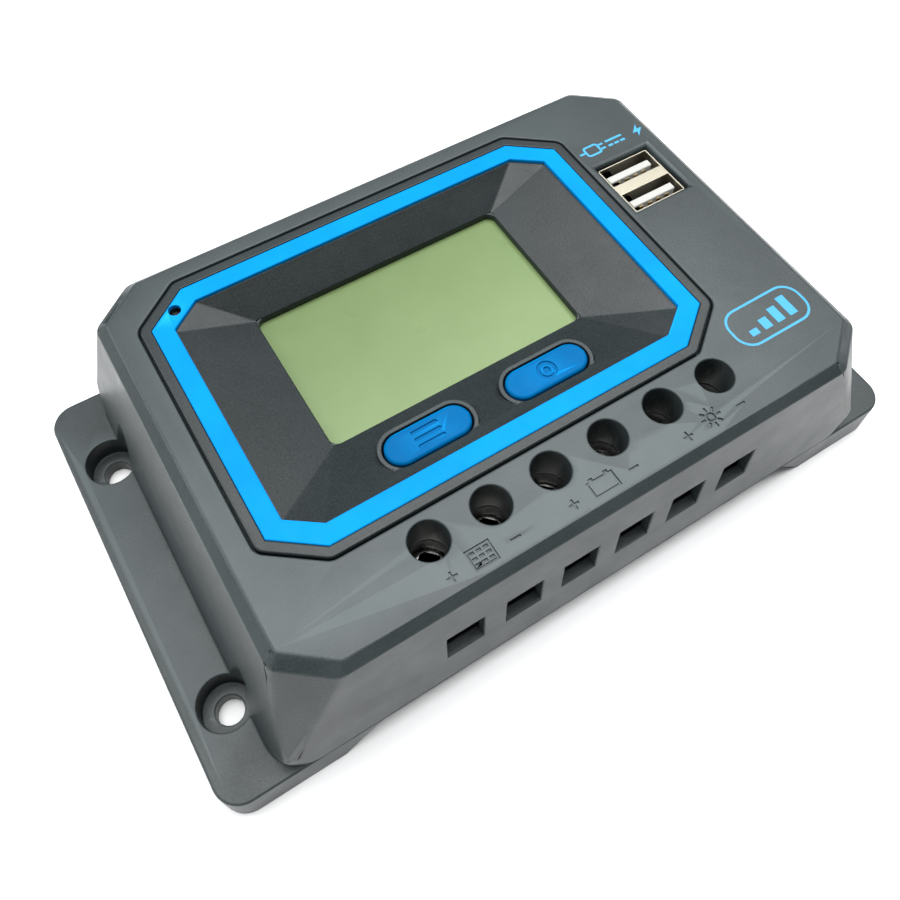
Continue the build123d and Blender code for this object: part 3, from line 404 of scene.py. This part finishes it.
def printed(name, frames, slabs):
    """Ink on the top face: 0.01 mm proud of it, with its foot just under the surface."""
    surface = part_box("top_housing")[1].z / MM
    low, high = surface + INK_FOOT, surface + INK_TOP
    shape = bmesh.new()
    for points in frames:
        ribbon(shape, points, low, high)
    for points in slabs:
        slab(shape, points, low, high)
    bmesh.ops.recalc_face_normals(shape, faces=shape.faces)
    mesh = bpy.data.meshes.new(name)
    shape.to_mesh(mesh)
    shape.free()
    mesh.materials.append(printed_blue)
    ink = bpy.data.objects.new(name, mesh)
    bpy.context.scene.collection.objects.link(ink)
    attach(ink, "case")


def rounded_outline(centre, size, radius, steps=6):
    """Points round a rectangle with rounded corners, in order."""
    points = []
    for quarter, (across, up) in enumerate(((1, 1), (-1, 1), (-1, -1), (1, -1))):
        middle = (centre[0] + across * (size[0] / 2 - radius), centre[1] + up * (size[1] / 2 - radius))
        for step in range(steps + 1):
            turn = math.pi / 2 * (quarter + step / steps)
            points.append((middle[0] + radius * math.cos(turn), middle[1] + radius * math.sin(turn)))
    return points


def box_outline(centre, size):
    """Four corners of a rectangle, in order."""
    half_x, half_y = size[0] / 2, size[1] / 2
    corners = ((-1, -1), (1, -1), (1, 1), (-1, 1))
    return [(centre[0] + across * half_x, centre[1] + up * half_y) for across, up in corners]


def socket_marks():
    """Plug, direct-current sign and bolt above the two sockets."""
    row_y = 25.6
    plug_x, plug_size, plug_round = 46.3, (3.4, 2.6), 0.6
    prong_x, prong_y, prong_size = 2.5, 0.65, (1.3, 0.5)
    cord_x, cord_size = -2.6, (1.4, 0.5)
    current_x, current_y, current_line = 52.4, 0.7, 0.55
    bar_length, dash_length, dash_pitch = 4.4, 1.2, 1.6
    bolt_x = 58.6
    bolt = ((0.7, 1.7), (-1.4, -0.35), (-0.2, -0.35), (-0.7, -1.7), (1.4, 0.35), (0.2, 0.35))

    slabs = [box_outline((plug_x + prong_x, row_y + side * prong_y), prong_size) for side in (-1, 1)]
    slabs.append(box_outline((plug_x + cord_x, row_y), cord_size))
    slabs.append(box_outline((current_x, row_y + current_y), (bar_length, current_line)))
    for step in (-1, 0, 1):
        dash_place = (current_x + step * dash_pitch, row_y - current_y)
        slabs.append(box_outline(dash_place, (dash_length, current_line)))
    slabs.append([(bolt_x + x, row_y + y) for x, y in bolt])
    printed("socket_marks", [rounded_outline((plug_x, row_y), plug_size, plug_round)], slabs)


def level_marks():
    """Rounded frame with four rising level bars, in the front corner of the top face."""
    centre_x, centre_y = 48.6, -27.6
    frame_size, frame_round = (17.6, 8.4), 3.4
    bar_count, bar_width, bar_pitch = 4, 1.9, 3.2
    shortest, bar_step = 1.4, 1.1
    first_x = centre_x - (bar_count - 1) / 2 * bar_pitch
    foot = centre_y - 2.4

    slabs = []
    for number in range(bar_count):
        tall = shortest + bar_step * number
        slabs.append(box_outline((first_x + bar_pitch * number, foot + tall / 2), (bar_width, tall)))
    printed("level_marks", [rounded_outline((centre_x, centre_y), frame_size, frame_round)], slabs)


socket_marks()
level_marks()


# ------------------------------------------------------------------ stage, light and camera
def stage_floor():
    """Wide pale floor under the case."""
    finish = Finish("pale_floor", 0.6)
    drift = finish.remap(finish.noise(0.25, 3.0), NOISE_LOW, NOISE_HIGH, 0.0, 1.0)
    finish.colour(finish.blend(drift, (0.90, 0.90, 0.90), (0.94, 0.94, 0.94)))
    mesh = bpy.data.meshes.new("floor")
    width = 6.0
    corners = [(x, y, 0.0) for x, y in box_outline((0.0, 0.0), (width, width))]
    mesh.from_pydata(corners, [], [(0, 1, 2, 3)])
    mesh.materials.append(finish.material)
    floor = bpy.data.objects.new("floor", mesh)
    bpy.context.scene.collection.objects.link(floor)


def softbox(name, place, target, size, power):
    """Rectangular lamp that faces target. Places and size are in metres, power in watts."""
    light = bpy.data.lights.new(name, "AREA")
    light.shape = "RECTANGLE"
    light.size = size[0]
    light.size_y = size[1]
    light.energy = power
    lamp = bpy.data.objects.new(name, light)
    lamp.location = place
    lamp.rotation_mode = "QUATERNION"
    lamp.rotation_quaternion = (Vector(target) - Vector(place)).to_track_quat("-Z", "Y")
    bpy.context.scene.collection.objects.link(lamp)


def studio():
    """Dim room, darkest in front, with lamps overhead, behind on the left and low on the left."""
    world = bpy.data.worlds.new("studio")
    world.use_nodes = True
    tree = world.node_tree
    background = tree.nodes["Background"]
    facing = tree.nodes.new("ShaderNodeTexCoord")
    split = tree.nodes.new("ShaderNodeSeparateXYZ")
    fade = tree.nodes.new("ShaderNodeMapRange")
    front_to_back = (-0.6, 0.5)
    strength_range = (0.05, 0.34)
    for socket, number in zip(fade.inputs[1:5], front_to_back + strength_range):
        socket.default_value = number
    tree.links.new(facing.outputs["Generated"], split.inputs["Vector"])
    tree.links.new(split.outputs["Y"], fade.inputs["Value"])
    tree.links.new(fade.outputs["Result"], background.inputs["Strength"])
    background.inputs["Color"].default_value = (0.84, 0.94, 1.0, 1.0)
    bpy.context.scene.world = world
    softbox("overhead", (0.18, 0.09, 0.80), (0.18, 0.09, 0.03), (0.94, 0.74), 17.0)
    softbox("back_left", (-0.62, 0.50, 0.60), (0, 0, 0.03), (0.45, 0.42), 4.2)
    softbox("left_low", (-0.75, -0.10, 0.18), (0, 0, 0.02), (0.5, 0.25), 1.2)
    bpy.context.scene.view_settings.view_transform = "Standard"
    bpy.context.scene.view_settings.look = "None"


def photo_camera():
    """Camera close above the front left corner, looking down at the case."""
    right = Vector((0.849769, -0.526985, 0.013384))
    down = Vector((-0.434563, -0.714657, -0.548106))
    forward = Vector((0.298409, 0.459948, -0.836302))
    data = bpy.data.cameras.new("camera")
    data.sensor_width = 36.0
    data.lens = 37.28
    data.shift_x = 0.0045
    data.shift_y = -0.1045
    data.clip_start = 0.01
    camera = bpy.data.objects.new("camera", data)
    turn = Matrix((right, -down, -forward)).transposed()
    camera.matrix_world = Matrix.Translation(Vector((-61.08, -83.17, 187.08)) * MM) @ turn.to_4x4()
    bpy.context.scene.collection.objects.link(camera)
    bpy.context.scene.camera = camera


stage_floor()
studio()
photo_camera()
